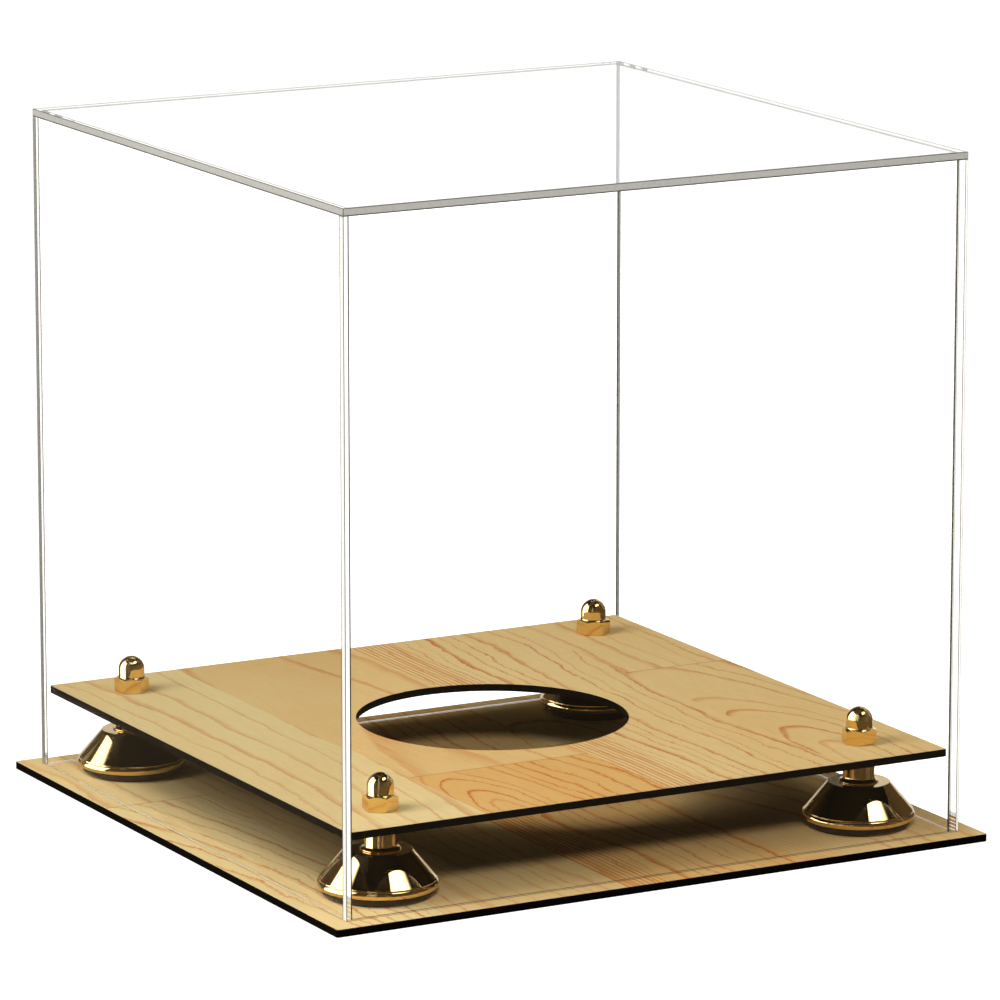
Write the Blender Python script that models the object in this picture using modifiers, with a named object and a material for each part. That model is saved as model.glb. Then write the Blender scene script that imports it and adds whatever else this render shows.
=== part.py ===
"""Display case for a ball: a clear acrylic cover over a shelf raised on four turned brass risers.

Units are metres and +Z is up. The origin is the centre of the base board's underside, and the
front of the case faces -Y. Bottom to top, the stack is: base board and its wood-look laminate,
four risers (rubber foot, bell, spacer), shelf board and its laminate, and four acorn nuts on the
bolts that run up through everything. The five-sided cover stands on the base around the shelf.
"""

import math

import bmesh
import bpy
from mathutils import Matrix, Vector

MM = 0.001
GAP = 0.3 * MM            # free space kept between pieces that rest on each other

# Clear cover
COVER_WIDTH = 282.6 * MM  # outside, the same in X and Y
COVER_HEIGHT = 282.0 * MM
SHEET = 3.0 * MM          # thickness of the clear sheet

# Boards, each a black core with a printed laminate bonded on top
BASE_WIDTH = 300.0 * MM
SHELF_WIDTH = 274.4 * MM
CORE = 2.5 * MM
LAMINATE = 0.4 * MM
BOARD = CORE + GAP + LAMINATE
BOARD_CORNER = 1.2 * MM   # rounding of a board's upright corners
CORNER_STEPS = 3          # facets in that rounding
BALL_HOLE = 57.0 * MM     # radius of the hole that seats the ball

# Risers
RISER_AT = 111.0 * MM     # distance of each riser's axis from the case's centre, in X and in Y
RISER_HEIGHT = 31.7 * MM  # from the base's top to the shelf's underside
BOLT_HOLE = 4.3 * MM      # radius of the clearance holes
BOLT = 3.9 * MM           # radius of the shank
FOOT_SHOWS = 2.8 * MM     # height of the rubber foot below the bell
FOOT_LIP = 3.2 * MM       # height of the foot's ring inside the bell
FOOT_RING = 4.7 * MM      # width of that ring
FOOT_SHOULDER = 21.4 * MM  # radius of the foot under the bell's rim
FOOT_SOLE = 19.7 * MM     # radius of the foot where it stands on the base
RIM = 23.3 * MM           # radius of the bell's rounded rim
RIM_HEIGHT = 3.6 * MM
RIM_ROUND = 2.16 * MM     # radius of the rim's rounding
RIM_DROP = 1.512 * MM     # from the cone's edge down to the centre of that rounding
RIM_FROM, RIM_TO = 38, -62  # the rounding's first and last angles, in degrees
RIM_STEPS = 5
RIM_INSET = 0.3 * MM      # how far the rim's underside starts inside the rounding
CONE_BOTTOM = 22.8 * MM   # radius of the cone where it meets the rim
CONE_TOP = 12.8 * MM
CONE_HEIGHT = 11.8 * MM
BELL_WALL = 2.36 * MM     # measured level, from the cone's outside to its inside
BELL_ROOF = 2.2 * MM
RECESS = CONE_BOTTOM - BELL_WALL
NECK = 6.5 * MM           # radius of the spacer
NECK_FOOT = 8.2 * MM      # radius of the spacer's flared foot
NECK_LIP = 0.6 * MM       # height of the edge under the flare
FLARE_STEPS = 3

# Acorn nuts
NUT_FLATS = 12.7 * MM
NUT_HEX = 6.0 * MM
NUT_HEIGHT = 14.8 * MM
NUT_DOME = 5.75 * MM      # radius of the dome
DOME_SQUASH = 0.92        # height of the dome's curve over its radius
DOME_STEP = 15            # degrees between the dome's rings
DOME_FLARE = 0.15 * MM    # how much wider the dome is inside the hexagon
NUT_CHAMFER = math.radians(30)
CHAMFER_INSET = 0.4 * MM  # from a flat to where the chamfer starts
NUT_BORE_DEPTH = 10.5 * MM
DRILL_POINT = math.radians(31)  # slope of the bore's blind end
BOLT_IN_NUT = 7.2 * MM    # length of the shank inside the nut
BOLT_END = 0.6 * MM       # chamfer at the shank's end
HEAD = 7.9 * MM           # radius of the countersunk head

# Corner name: side in X, side in Y, and how far the nut is turned about its axis
CORNERS = {
    "front_left": (-1, -1, math.radians(17)),
    "front_right": (1, -1, math.radians(16)),
    "back_left": (-1, 1, math.radians(32)),
    "back_right": (1, 1, math.radians(5)),
}

TURNED_STEPS = 36         # facets round a bell
SMALL_STEPS = 24          # facets round a spacer, bolt or nut
HOLE_STEPS = 64           # facets round the ball's hole
SMOOTH_BELOW = math.radians(32)
MERGE = 0.01 * MM         # points closer than this on a turned piece's axis become one
REACH = 1.0 * MM          # how far a cutting shape runs past what it cuts

# Levels, bottom to top
BASE_TOP = BOARD
FOOT_BOTTOM = BASE_TOP + GAP
BELL_BOTTOM = FOOT_BOTTOM + FOOT_SHOWS + GAP
CONE_EDGE = BELL_BOTTOM + RIM_HEIGHT
BELL_TOP = CONE_EDGE + CONE_HEIGHT
SPACER_BOTTOM = BELL_TOP + GAP
SHELF_BOTTOM = BASE_TOP + RISER_HEIGHT
SPACER_TOP = SHELF_BOTTOM - GAP
SHELF_TOP = SHELF_BOTTOM + BOARD
NUT_BOTTOM = SHELF_TOP + GAP
COVER_BOTTOM = BASE_TOP + GAP
COVER_TOP = COVER_BOTTOM + COVER_HEIGHT


def clear_scene():
    """Removes whatever the file opened with."""
    for obj in list(bpy.data.objects):
        bpy.data.objects.remove(obj)


def collection(name):
    """A new collection in the scene."""
    made = bpy.data.collections.new(name)
    bpy.context.scene.collection.children.link(made)
    return made


def material(name, colour, roughness, metallic=0.0, alpha=1.0):
    """A Principled material."""
    made = bpy.data.materials.new(name)
    made.use_nodes = True
    shader = made.node_tree.nodes["Principled BSDF"]
    shader.inputs["Base Color"].default_value = (*colour, 1.0)
    shader.inputs["Roughness"].default_value = roughness
    shader.inputs["Metallic"].default_value = metallic
    shader.inputs["Alpha"].default_value = alpha
    return made


def mesh_from(bm, name):
    """Turns a bmesh into a mesh and frees it."""
    mesh = bpy.data.meshes.new(name)
    bm.to_mesh(mesh)
    bm.free()
    return mesh


def add_object(name, mesh, group, surface=None, location=(0, 0, 0), turn=0.0):
    """Links a mesh into the scene as one named piece."""
    obj = bpy.data.objects.new(name, mesh)
    obj.location = location
    obj.rotation_euler = (0, 0, turn)
    group.objects.link(obj)
    if surface and not mesh.materials:
        mesh.materials.append(surface)
    return obj


def add_cutter(name, mesh):
    """A piece that only shapes others: hidden from renders and drawn as wire."""
    obj = add_object(name, mesh, CUTTERS)
    obj.hide_render = True
    obj.display_type = "WIRE"
    return obj


def block(name, size, centre, corner=0.0):
    """A rectangular slab, its upright edges rounded to the corner radius."""
    bm = bmesh.new()
    place = Matrix.Translation(centre) @ Matrix.Diagonal((*size, 1.0))
    bmesh.ops.create_cube(bm, size=1.0, matrix=place)
    if corner:
        upright = [e for e in bm.edges if abs(e.verts[0].co.z - e.verts[1].co.z) > size[2] / 2]
        bmesh.ops.bevel(
            bm, geom=upright, offset=corner, segments=CORNER_STEPS, profile=0.5, affect="EDGES"
        )
    return mesh_from(bm, name)


def cylinder(name, radius, low, high, at=(0, 0), steps=SMALL_STEPS, top_radius=None):
    """An upright cylinder or cone between two levels."""
    bm = bmesh.new()
    place = Matrix.Translation((*at, (low + high) / 2))
    bmesh.ops.create_cone(
        bm, cap_ends=True, segments=steps, radius1=radius,
        radius2=radius if top_radius is None else top_radius, depth=high - low, matrix=place,
    )
    return mesh_from(bm, name)


def evaluated_mesh(obj):
    """The mesh an object shows once its modifiers have run."""
    graph = bpy.context.evaluated_depsgraph_get()
    return bpy.data.meshes.new_from_object(obj.evaluated_get(graph), depsgraph=graph)


def turned(name, profile, steps, closed=True):
    """A solid of revolution about Z. The profile runs down the outside, top to bottom."""
    bm = bmesh.new()
    points = [bm.verts.new((radius, 0, level)) for radius, level in profile]
    for start, end in zip(points, points[1:]):
        bm.edges.new((start, end))
    if closed:
        bm.edges.new((points[-1], points[0]))
    blank = add_cutter(name + "_profile", mesh_from(bm, name + "_profile"))
    screw = blank.modifiers.new("Turn", "SCREW")
    screw.steps = steps
    screw.render_steps = steps
    screw.use_merge_vertices = True
    screw.merge_threshold = MERGE
    mesh = evaluated_mesh(blank)
    bpy.data.objects.remove(blank)
    mesh.name = name
    return smooth(mesh)


def smooth(mesh):
    """Smooth shading with the real corners kept sharp."""
    mesh.shade_smooth()
    mesh.set_sharp_from_angle(angle=SMOOTH_BELOW)
    return mesh


def boolean(obj, cutter, operation="DIFFERENCE"):
    """Cuts, joins or intersects a piece with another."""
    modifier = obj.modifiers.new(cutter.name, "BOOLEAN")
    modifier.operation = operation
    modifier.object = cutter
    modifier.solver = "EXACT"


def arc(centre, radius, start, end, count):
    """Points on an arc in the profile's plane, angles in degrees."""
    angles = [math.radians(start + (end - start) * i / count) for i in range(count + 1)]
    return [
        (centre[0] + radius * math.cos(a), centre[1] + radius * math.sin(a)) for a in angles
    ]


def bell_mesh():
    """The bell: a flat roof, a straight cone, a rounded rim, and the hollow underneath."""
    rim_centre = (RIM - RIM_ROUND, CONE_EDGE - RIM_DROP)
    rim = arc(rim_centre, RIM_ROUND, RIM_FROM, RIM_TO, RIM_STEPS)
    hollow_top = BELL_TOP - BELL_ROOF
    slope = (CONE_BOTTOM - CONE_TOP) / CONE_HEIGHT
    hollow_radius = CONE_TOP + slope * BELL_ROOF - BELL_WALL
    profile = [(BOLT_HOLE, BELL_TOP), (CONE_TOP, BELL_TOP), (CONE_BOTTOM, CONE_EDGE)]
    profile += rim
    profile += [
        (rim[-1][0] - RIM_INSET, BELL_BOTTOM),
        (RECESS, BELL_BOTTOM),
        (RECESS, CONE_EDGE),
        (hollow_radius, hollow_top),
        (BOLT_HOLE, hollow_top),
    ]
    return turned("bell", profile, TURNED_STEPS)


def foot_mesh():
    """The rubber foot: a ring under the bell's rim with a lip that locates it inside."""
    shoulder = FOOT_BOTTOM + FOOT_SHOWS
    outside = RECESS - GAP
    profile = [
        (outside, shoulder + FOOT_LIP),
        (outside, shoulder),
        (FOOT_SHOULDER, shoulder),
        (FOOT_SOLE, FOOT_BOTTOM),
        (outside - FOOT_RING, FOOT_BOTTOM),
        (outside - FOOT_RING, shoulder + FOOT_LIP),
    ]
    return turned("foot", profile, TURNED_STEPS)


def spacer_mesh():
    """The spacer between bell and shelf: a tube whose foot flares to a thin flange."""
    flare = NECK_FOOT - NECK
    centre = (NECK + flare, SPACER_BOTTOM + NECK_LIP + flare)
    profile = [(BOLT_HOLE, SPACER_TOP), (NECK, SPACER_TOP)]
    profile += arc(centre, flare, 180, 270, FLARE_STEPS)
    profile += [(NECK_FOOT, SPACER_BOTTOM), (BOLT_HOLE, SPACER_BOTTOM)]
    return turned("spacer", profile, SMALL_STEPS)


def bolt_mesh():
    """The bolt: a countersunk head in the base board and a plain shank up into the nut."""
    cone = HEAD - BOLT
    head_bottom = GAP
    tip = NUT_BOTTOM + BOLT_IN_NUT
    profile = [
        (0, tip),
        (BOLT - BOLT_END, tip),
        (BOLT, tip - BOLT_END),
        (BOLT, head_bottom + cone),
        (HEAD, head_bottom),
        (0, head_bottom),
    ]
    return turned("bolt", profile, SMALL_STEPS, closed=False)


def nut_mesh():
    """The acorn nut: a chamfered hexagon and a dome in one, with a blind bore from below."""
    corner = NUT_FLATS / 2 / math.cos(math.pi / 6)
    top = NUT_BOTTOM + NUT_HEX
    hexagon = add_cutter("hexagon", cylinder("hexagon", corner, NUT_BOTTOM, top, steps=6))
    chamfer_start = NUT_FLATS / 2 - CHAMFER_INSET
    fall = (corner - chamfer_start) * math.tan(NUT_CHAMFER)
    chamfer_profile = [
        (0, top + REACH),
        (chamfer_start, top + REACH),
        (chamfer_start, top),
        (corner, top - fall),
        (corner, NUT_BOTTOM + fall / 2),
        (corner - fall / 2, NUT_BOTTOM),
        (0, NUT_BOTTOM),
    ]
    chamfer = add_cutter("chamfer", turned("chamfer", chamfer_profile, SMALL_STEPS, closed=False))
    boolean(hexagon, chamfer, "INTERSECT")

    peak = NUT_BOTTOM + NUT_HEIGHT
    rise = NUT_DOME * DOME_SQUASH
    angles = [math.radians(a) for a in range(0, 91, DOME_STEP)]
    dome_profile = [
        (NUT_DOME * math.sin(a), peak - rise + rise * math.cos(a)) for a in angles
    ]
    dome_profile += [(NUT_DOME + DOME_FLARE, top - REACH), (0, top - REACH)]
    dome = add_cutter("dome", turned("dome", dome_profile, SMALL_STEPS, closed=False))
    boolean(hexagon, dome, "UNION")

    drill_tip = NUT_BOTTOM + NUT_BORE_DEPTH
    bore_profile = [
        (0, drill_tip),
        (BOLT_HOLE, drill_tip - BOLT_HOLE * math.tan(DRILL_POINT)),
        (BOLT_HOLE, NUT_BOTTOM - REACH),
        (0, NUT_BOTTOM - REACH),
    ]
    bore = add_cutter("nut_bore", turned("nut_bore", bore_profile, SMALL_STEPS, closed=False))
    boolean(hexagon, bore)

    mesh = evaluated_mesh(hexagon)
    for obj in (hexagon, chamfer, dome, bore):
        bpy.data.objects.remove(obj)
    mesh.name = "acorn_nut"
    mesh.materials.clear()
    return smooth(mesh)


def add_boards():
    """The two boards, each with its laminate, their bolt holes and the shelf's hole for the ball."""
    bolt_holes = [
        add_cutter(
            "bolt_hole_" + corner,
            cylinder(
                "bolt_hole", BOLT_HOLE, -REACH, SHELF_TOP + REACH, (x * RISER_AT, y * RISER_AT)
            ),
        )
        for corner, (x, y, _) in CORNERS.items()
    ]
    sink = HEAD - BOLT_HOLE
    countersinks = [
        add_cutter(
            "countersink_" + corner,
            cylinder(
                "countersink", HEAD + 2 * GAP + REACH, -REACH, 2 * GAP + sink,
                (x * RISER_AT, y * RISER_AT), top_radius=BOLT_HOLE,
            ),
        )
        for corner, (x, y, _) in CORNERS.items()
    ]
    ball_hole = add_cutter(
        "ball_hole",
        cylinder("ball_hole", BALL_HOLE, SHELF_BOTTOM - REACH, SHELF_TOP + REACH, steps=HOLE_STEPS),
    )
    base_cuts = bolt_holes + countersinks
    shelf_cuts = bolt_holes + [ball_hole]
    layers = {
        "base_board": (BASE_WIDTH, 0.0, CORE, BLACK, base_cuts),
        "base_laminate": (BASE_WIDTH, BASE_TOP - LAMINATE, LAMINATE, WOOD, base_cuts),
        "shelf_board": (SHELF_WIDTH, SHELF_BOTTOM, CORE, BLACK, shelf_cuts),
        "shelf_laminate": (SHELF_WIDTH, SHELF_TOP - LAMINATE, LAMINATE, WOOD, shelf_cuts),
    }
    for name, (width, low, thickness, surface, cuts) in layers.items():
        slab = block(name, (width, width, thickness), (0, 0, low + thickness / 2), BOARD_CORNER)
        obj = add_object(name, slab, PARTS, surface)
        for cutter in cuts:
            boolean(obj, cutter)


def add_risers():
    """Foot, bell, spacer, bolt and acorn nut at each corner. The copies of a piece share a mesh."""
    pieces = {
        "riser_foot": (foot_mesh(), RUBBER),
        "riser_bell": (bell_mesh(), BRASS),
        "riser_spacer": (spacer_mesh(), BRASS),
        "riser_bolt": (bolt_mesh(), STEEL),
        "acorn_nut": (nut_mesh(), BRASS),
    }
    for corner, (x, y, turn) in CORNERS.items():
        for piece, (mesh, surface) in pieces.items():
            add_object(
                f"{piece}_{corner}", mesh, PARTS, surface,
                location=(x * RISER_AT, y * RISER_AT, 0),
                turn=turn if piece == "acorn_nut" else 0.0,
            )


def add_cover():
    """Five clear sheets on one empty, which stands for the cover's lift. The front and back sheets
    run the full width, the sides fit between them, and the top lies on all four."""
    lift = bpy.data.objects.new("cover_lift", None)
    lift.location = (0, 0, COVER_BOTTOM)
    PARTS.objects.link(lift)
    middle = (COVER_WIDTH - SHEET) / 2
    wall_height = COVER_HEIGHT - SHEET - GAP
    side_length = COVER_WIDTH - 2 * (SHEET + GAP)
    wall_centre = COVER_BOTTOM + wall_height / 2
    sheets = {
        "cover_top": ((COVER_WIDTH, COVER_WIDTH, SHEET), (0, 0, COVER_TOP - SHEET / 2)),
        "cover_front": ((COVER_WIDTH, SHEET, wall_height), (0, -middle, wall_centre)),
        "cover_back": ((COVER_WIDTH, SHEET, wall_height), (0, middle, wall_centre)),
        "cover_left": ((SHEET, side_length, wall_height), (-middle, 0, wall_centre)),
        "cover_right": ((SHEET, side_length, wall_height), (middle, 0, wall_centre)),
    }
    for name, (size, centre) in sheets.items():
        obj = add_object(name, block(name, size, (0, 0, 0)), PARTS, ACRYLIC)
        obj.parent = lift
        obj.location = Vector(centre) - lift.location


clear_scene()
PARTS = collection("ball_display_case")
CUTTERS = collection("cutters")
ACRYLIC = material("clear_acrylic", (0.95, 0.96, 0.95), 0.02, alpha=0.25)
BLACK = material("black_acrylic", (0.012, 0.012, 0.013), 0.15)
WOOD = material("plank_laminate", (0.80, 0.62, 0.36), 0.35)
BRASS = material("gold_plate", (0.83, 0.58, 0.22), 0.08, metallic=1.0)
STEEL = material("bolt_steel", (0.62, 0.60, 0.56), 0.3, metallic=1.0)
RUBBER = material("foot_rubber", (0.03, 0.02, 0.015), 0.6)

add_boards()
add_risers()
add_cover()
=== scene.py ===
"""Looks for the ball display case: fine pieces, materials, a white studio and the camera."""

import math

import bmesh
import bpy
from mathutils import Matrix, Vector


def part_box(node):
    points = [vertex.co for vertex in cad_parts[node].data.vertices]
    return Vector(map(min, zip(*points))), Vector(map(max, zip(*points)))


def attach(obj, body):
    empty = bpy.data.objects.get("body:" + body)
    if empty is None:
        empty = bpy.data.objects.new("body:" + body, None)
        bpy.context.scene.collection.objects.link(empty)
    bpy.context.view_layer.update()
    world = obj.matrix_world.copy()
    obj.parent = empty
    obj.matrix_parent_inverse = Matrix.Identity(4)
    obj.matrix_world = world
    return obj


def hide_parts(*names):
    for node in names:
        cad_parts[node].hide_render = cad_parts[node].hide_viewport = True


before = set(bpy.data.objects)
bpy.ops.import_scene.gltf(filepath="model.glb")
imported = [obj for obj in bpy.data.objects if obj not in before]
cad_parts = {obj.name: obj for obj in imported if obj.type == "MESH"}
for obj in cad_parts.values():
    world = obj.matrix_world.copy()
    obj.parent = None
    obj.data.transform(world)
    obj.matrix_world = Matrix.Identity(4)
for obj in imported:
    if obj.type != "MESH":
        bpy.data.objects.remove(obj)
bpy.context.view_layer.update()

MM = 0.001
WHITE = (1, 1, 1, 1)

# Each corner's riser, and how far its acorn nut is turned about the bolt
CORNERS = {
    "front_left": math.radians(52.4),
    "front_right": math.radians(43.2),
    "back_left": math.radians(6.3),
    "back_right": math.radians(5),
}

# Camera: it looks at a point on the case's axis
CAMERA_AZIMUTH = math.radians(-28.67)
CAMERA_ELEVATION = math.radians(12.22)
CAMERA_DISTANCE = 2.753
CAMERA_TARGET = Vector((0.0, 0.0, 0.13026))
CAMERA_ASIDE = 0.0037     # how far the camera stands to the right of that line
CAMERA_LENS = 239.06

# The white surroundings, seen past the cover and through it, and the weak fill for soft rays from
# the surroundings and from the table top
DIRECT_WHITE, THROUGH_WHITE = 1.1, 1.9
SOFT_FILL, TABLE_FILL = 0.12, 0.03
FILL_TINT = (1.0, 0.88, 0.66, 1.0)

# The table top: how far it reaches, and the distances over which its grey fades out
TABLE_REACH, TABLE_THICKNESS = 12, 0.02
TABLE_GREY, FADE_FROM, FADE_TO = 0.15, 300.0, 1500.0

# What mirrors see of the room: how bright it is low down and overhead, then its panels, each with
# the azimuth of its middle in degrees, the cosine of its half width, the sines of its lowest and
# highest elevations, its brightness, and whether its part below level shows only inside the case
ROOM_LOW, ROOM_HIGH = 0.08, 0.008
ROOM_TINT = (1.0, 0.74, 0.42, 1.0)
BLUR_ACROSS, BLUR_UP = 0.02, 0.03
PANELS = [
    (-115, 0.875, -1.0, 0.74, 4.5, True),
    (34, 0.88, 0.77, 0.91, 4.5, False),
    (151, 0.90, -0.5, 0.42, 0.75, False),
]

# Softboxes: name, azimuth and elevation in degrees, distance, width, height and power
SOFTBOXES = [
    ("left_softbox", -92, 38, 1.1, 0.6, 0.8, 11),
    ("right_softbox", 32, 46, 1.1, 0.52, 0.6, 2.4),
    ("front_fill", -26, 33, 2.0, 0.5, 0.3, 18),
]
LIT_SPOT = Vector((0, 0, 0.1))        # what they face

# Finish of the meshes: steps round a turned piece, and the angle up to which faces join smoothly
TURNED_STEPS = 128
SMOOTH_BELOW = math.radians(35)

# Boards and their prints
BOARD_CORNER, BOARD_EDGE = 1.2 * MM, 0.2 * MM
PRINT_CORNER, PRINT_DEPTH, PRINT_INSET = 1.0 * MM, 0.12 * MM, 0.3 * MM
BOLT_HOLE, SINK_MOUTH, SINK_DEPTH = 4.3 * MM, 9.4 * MM, 2.6 * MM
BALL_HOLE, BALL_HOLE_STEPS = 57 * MM, 192

# Risers: radii, levels above the piece's underside, and wall thicknesses
BELL_ROOF, BELL_WALL = 12.8 * MM, 2.2 * MM
BELL_INSIDE, BELL_INSIDE_TOP = 20.44 * MM, 12.3 * MM
CONE_EDGE, CONE_INSET = 3.6 * MM, 0.75 * MM
RIM_ROUND, RIM_LEVEL = 2.0 * MM, 1.85 * MM
FOOT_LIP, FOOT_BORE, FOOT_SHOULDER = 20.14 * MM, 15.44 * MM, 3.05 * MM
FOOT_WIDE, FOOT_WAIST, FOOT_SOLE = 21.5 * MM, 21.2 * MM, 19.7 * MM
NECK = 6.5 * MM
CONTACT = 0.25 * MM       # how far a piece is let into the gap to its neighbour

# Acorn nuts
NUT_FLATS, NUT_HEXAGON, NUT_EDGE, NUT_SEAT = 12.7 * MM, 6.2 * MM, 0.15 * MM, 0.2 * MM
NUT_CHAMFER_INSET, NUT_CHAMFER_SLOPE = 0.12 * MM, math.tan(math.radians(30))
NUT_FOOT_SHARE = 0.6      # how high the lower chamfer is beside the upper one
NUT_DOME, NUT_FLARE = 5.5 * MM, 0.7 * MM
NUT_BORE, NUT_BORE_DEPTH, NUT_BORE_POINT = 3.95 * MM, 10.5 * MM, 2.4 * MM
FACE_STEPS, EDGE_STEPS = 10, 5

# Bolts
BOLT_HEAD, BOLT_SHANK, HEX_SOCKET, SOCKET_DEPTH = 7.9 * MM, 3.85 * MM, 2.6 * MM, 2.4 * MM

# Cover: how far its sheets overlap where they are welded, its edges' chamfer, and the beads of
# weld along the inside corners, upright ones by corner and level ones under the top
WELD, SHEET_EDGE = 0.02 * MM, 0.25 * MM
FACE, CUT_EDGE, FINE = 0, 1, 2        # which of the cover's materials a face has
UPRIGHT_BEADS = [(-1, -1, 0.4 * MM), (1, -1, 0.8 * MM), (-1, 1, 0.25 * MM), (1, 1, 0.45 * MM)]
LEVEL_BEAD = 0.55 * MM


# ---------------------------------------------------------------- meshes

def mesh_object(name, bm):
    """Makes an object of a bmesh and frees it."""
    bmesh.ops.recalc_face_normals(bm, faces=bm.faces)
    mesh = bpy.data.meshes.new(name)
    bm.to_mesh(mesh)
    bm.free()
    obj = bpy.data.objects.new(name, mesh)
    bpy.context.scene.collection.objects.link(obj)
    return obj


def apply_modifiers(obj):
    """Replaces an object's mesh with what its modifiers make of it."""
    graph = bpy.context.evaluated_depsgraph_get()
    mesh = bpy.data.meshes.new_from_object(obj.evaluated_get(graph), depsgraph=graph)
    obj.modifiers.clear()
    obj.data = mesh
    return obj


def smooth(obj):
    """Smooth shading with real corners kept sharp and the large faces kept true."""
    obj.data.shade_smooth()
    obj.data.set_sharp_from_angle(angle=SMOOTH_BELOW)
    weighted = obj.modifiers.new("Normals", "WEIGHTED_NORMAL")
    weighted.keep_sharp = True
    return apply_modifiers(obj)


def finish_piece(obj, surface, body, slot, *nodes):
    """Gives a piece its material and its body, and hides the CAD nodes that it stands for. The slot
    is not used.
    """
    obj.data.materials.clear()
    obj.data.materials.append(surface)
    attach(obj, body)
    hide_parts(*nodes)
    return obj


def arc(centre, radius, start, end, count):
    """Points on an arc, angles in degrees."""
    angles = [math.radians(start + (end - start) * i / count) for i in range(count + 1)]
    return [(centre[0] + radius * math.cos(a), centre[1] + radius * math.sin(a)) for a in angles]


def rounded(outline, count=4):
    """An open outline of (radius, level, fillet) corners as points, each fillet an arc."""
    points = [Vector(p[:2]) for p in outline]
    made = [tuple(points[0])]
    for before, here, after, (_, _, fillet) in zip(points, points[1:], points[2:], outline[1:]):
        if not fillet:
            made.append(tuple(here))
            continue
        back, on = (before - here).normalized(), (after - here).normalized()
        half = back.angle(on) / 2
        reach = fillet / math.tan(half)
        centre = here + (back + on).normalized() * (fillet / math.sin(half))
        start, end = here + back * reach - centre, here + on * reach - centre
        sweep = start.angle_signed(end)
        for i in range(count + 1):
            turn = -sweep * i / count
            made.append((
                centre.x + start.x * math.cos(turn) - start.y * math.sin(turn),
                centre.y + start.x * math.sin(turn) + start.y * math.cos(turn),
            ))
    made.append(tuple(points[-1]))
    return made


def turned(name, profile, at, steps=TURNED_STEPS, closed=True):
    """A solid of revolution about the upright line through at."""
    bm = bmesh.new()
    ring = [bm.verts.new((radius, 0, level)) for radius, level in profile]
    for start, end in zip(ring, ring[1:]):
        bm.edges.new((start, end))
    if closed:
        bm.edges.new((ring[-1], ring[0]))
    obj = mesh_object(name, bm)
    screw = obj.modifiers.new("Turn", "SCREW")
    screw.steps = steps
    screw.render_steps = steps
    screw.use_merge_vertices = True
    screw.merge_threshold = 0.000001
    apply_modifiers(obj)
    obj.data.transform(Matrix.Translation((at.x, at.y, 0)))
    return smooth(obj)


def axis_of(node):
    """The upright centre line of a round node, and its box."""
    low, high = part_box(node)
    return (low + high) / 2, low, high


def slab(name, low, high, upright=0.0, edge=0.0):
    """A rectangular board with rounded upright corners and softened edges."""
    bm = bmesh.new()
    size = high - low
    place = Matrix.Translation((low + high) / 2) @ Matrix.Diagonal((*size, 1.0))
    bmesh.ops.create_cube(bm, size=1.0, matrix=place)
    if upright:
        corners = [e for e in bm.edges if abs(e.verts[0].co.z - e.verts[1].co.z) > size.z / 2]
        bmesh.ops.bevel(bm, geom=corners, offset=upright, segments=6, profile=0.5, affect="EDGES")
    if edge:
        rims = [e for e in bm.edges if e.calc_face_angle(0.0) > math.radians(60)]
        bmesh.ops.bevel(bm, geom=rims, offset=edge, segments=3, profile=0.5, affect="EDGES")
    return mesh_object(name, bm)


def drill(obj, at, radius, low, high, low_radius=None, steps=64):
    """Cuts an upright round hole, or a countersink, through a piece."""
    bm = bmesh.new()
    bmesh.ops.create_cone(
        bm, cap_ends=True, segments=steps, radius1=low_radius or radius, radius2=radius,
        depth=high - low, matrix=Matrix.Translation((at.x, at.y, (low + high) / 2)),
    )
    cutter = mesh_object("cutter", bm)
    cut = obj.modifiers.new("Hole", "BOOLEAN")
    cut.operation = "DIFFERENCE"
    cut.object = cutter
    apply_modifiers(obj)
    bpy.data.objects.remove(cutter)


# ---------------------------------------------------------------- node shorthand

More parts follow.
